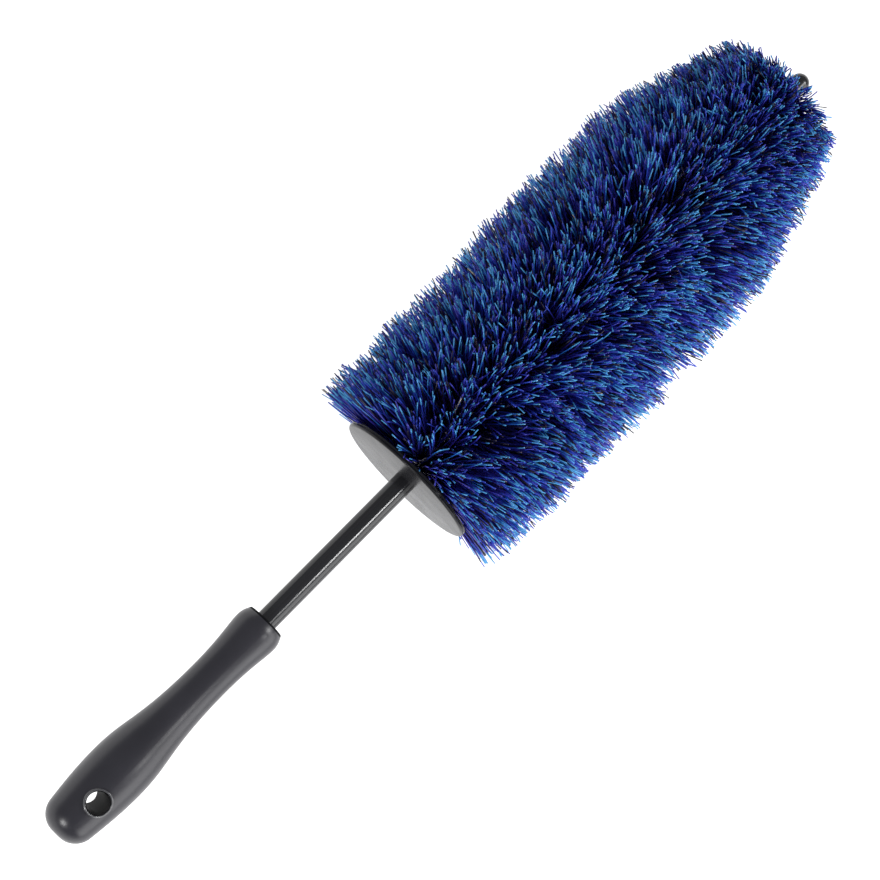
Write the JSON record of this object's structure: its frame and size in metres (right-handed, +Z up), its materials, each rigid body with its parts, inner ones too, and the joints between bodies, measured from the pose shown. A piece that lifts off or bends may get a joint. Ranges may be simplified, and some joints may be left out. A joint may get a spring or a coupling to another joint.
{
  "type": "wheel brush",
  "caption": "Long cylindrical twisted-wire wheel brush with a soft grip, a plastic-sleeved rod and a round splash guard that slides on it.",
  "frame": {"origin": "on the surface that the brush lies on, below the middle of its length, width centred", "axes": "+X along the stem from the handle to the tip, +Y across the brush, +Z up; the hanging hole's axis is vertical"},
  "size_m": [0.457, 0.104, 0.1005],
  "materials": {
    "grip_rubber": "soft-touch matt, fine moulded grain",
    "core_plastic": "satin moulded plastic",
    "ferrule_steel": "bright zinc plated",
    "stem_steel": "drawn galvanised wire",
    "rod_plastic": "semi-gloss extruded plastic",
    "guard_plastic": "polished moulded plastic",
    "collar_plastic": "satin moulded plastic",
    "cap_plastic": "gloss moulded plastic",
    "bristle_fibre": "glossy blue filament mixed with black"
  },
  "bodies": {
    "brush": {"grip_shell": "grip_rubber", "handle_core": "core_plastic", "stem_ferrule": "ferrule_steel", "stem_wire_a": "stem_steel", "stem_wire_b": "stem_steel", "rod_tube": "rod_plastic", "root_collar": "collar_plastic", "tip_cap": "cap_plastic", "bristle_turn_01": "bristle_fibre", "bristle_turn_02": "bristle_fibre", "bristle_turn_03": "bristle_fibre", "bristle_turn_04": "bristle_fibre", "bristle_turn_05": "bristle_fibre", "bristle_turn_06": "bristle_fibre", "bristle_turn_07": "bristle_fibre", "bristle_turn_08": "bristle_fibre", "bristle_turn_09": "bristle_fibre", "bristle_turn_10": "bristle_fibre", "bristle_turn_11": "bristle_fibre", "bristle_turn_12": "bristle_fibre", "bristle_turn_13": "bristle_fibre", "bristle_turn_14": "bristle_fibre", "bristle_turn_15": "bristle_fibre", "bristle_turn_16": "bristle_fibre", "bristle_turn_17": "bristle_fibre", "bristle_turn_18": "bristle_fibre", "bristle_turn_19": "bristle_fibre", "bristle_turn_20": "bristle_fibre", "bristle_turn_21": "bristle_fibre", "bristle_turn_22": "bristle_fibre", "bristle_turn_23": "bristle_fibre", "bristle_turn_24": "bristle_fibre", "bristle_turn_25": "bristle_fibre", "bristle_turn_26": "bristle_fibre", "bristle_turn_27": "bristle_fibre", "bristle_turn_28": "bristle_fibre", "bristle_turn_29": "bristle_fibre", "bristle_turn_30": "bristle_fibre", "bristle_turn_31": "bristle_fibre", "bristle_turn_32": "bristle_fibre"},
    "guard": {"splash_guard": "guard_plastic"}
  },
  "joints": [
    {"name": "guard_slide", "type": "slide", "parent": "brush", "child": "guard", "axis": [-1, 0, 0], "range_m": [0, 0.082]}
  ]
}
